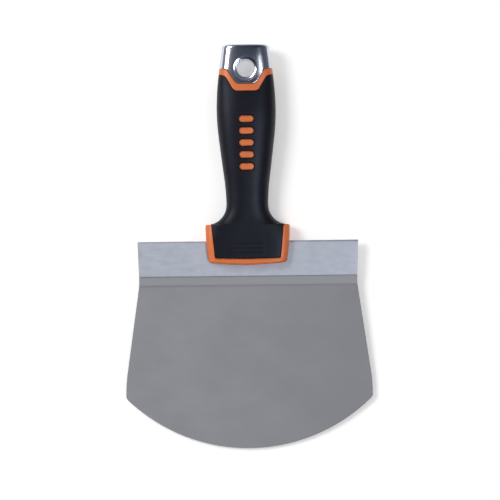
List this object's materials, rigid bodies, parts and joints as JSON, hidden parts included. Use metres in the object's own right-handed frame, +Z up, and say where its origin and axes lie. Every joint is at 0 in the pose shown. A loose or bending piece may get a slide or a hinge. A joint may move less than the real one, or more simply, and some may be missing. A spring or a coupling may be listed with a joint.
{
  "type": "putty knife",
  "caption": "Flexible putty knife: wide round-edged steel blade in a folded rail, black and orange two-component handle, chrome striking cap with a hanging hole.",
  "frame": {"origin": "on the surface that the knife lies on, under the middle of its bounding box", "axes": "+Z is up, out of the knife's front face; +Y runs from the blade's edge to the cap; +X is to the right, seen from the front with the cap at the top. The knife leans back by 2.52 degrees about X, because it lies on the belly of its handle and the back edge of its ferrule, with the blade clear of the surface"},
  "size_m": [0.15, 0.2456, 0.0233],
  "materials": {
    "spring_steel": "fine satin grind, grey",
    "zinc_sheet": "light bluish-grey galvanised sheet, softly mottled",
    "mild_steel": "plain, hidden",
    "orange_plastic": "satin moulded plastic",
    "black_rubber": "fine matte texture",
    "chrome": "polished plating"
  },
  "bodies": {
    "handle": {"handle_core": "orange_plastic", "soft_grip": "black_rubber", "end_cap": "chrome", "hang_eyelet": "chrome", "tang": "mild_steel", "rail_rivet_left": "mild_steel", "rail_rivet_middle": "mild_steel", "rail_rivet_right": "mild_steel", "back_rail": "zinc_sheet", "blade_root": "spring_steel"},
    "flexing_blade": {"blade": "spring_steel"}
  },
  "joints": [
    {"name": "blade_flex", "type": "hinge", "parent": "handle", "child": "flexing_blade", "pos_m": [0, -0.05298, 0.00569], "axis": [-1, 0, 0], "range_deg": [-2, 20], "stiffness_Nm_per_rad": 3.8}
  ]
}
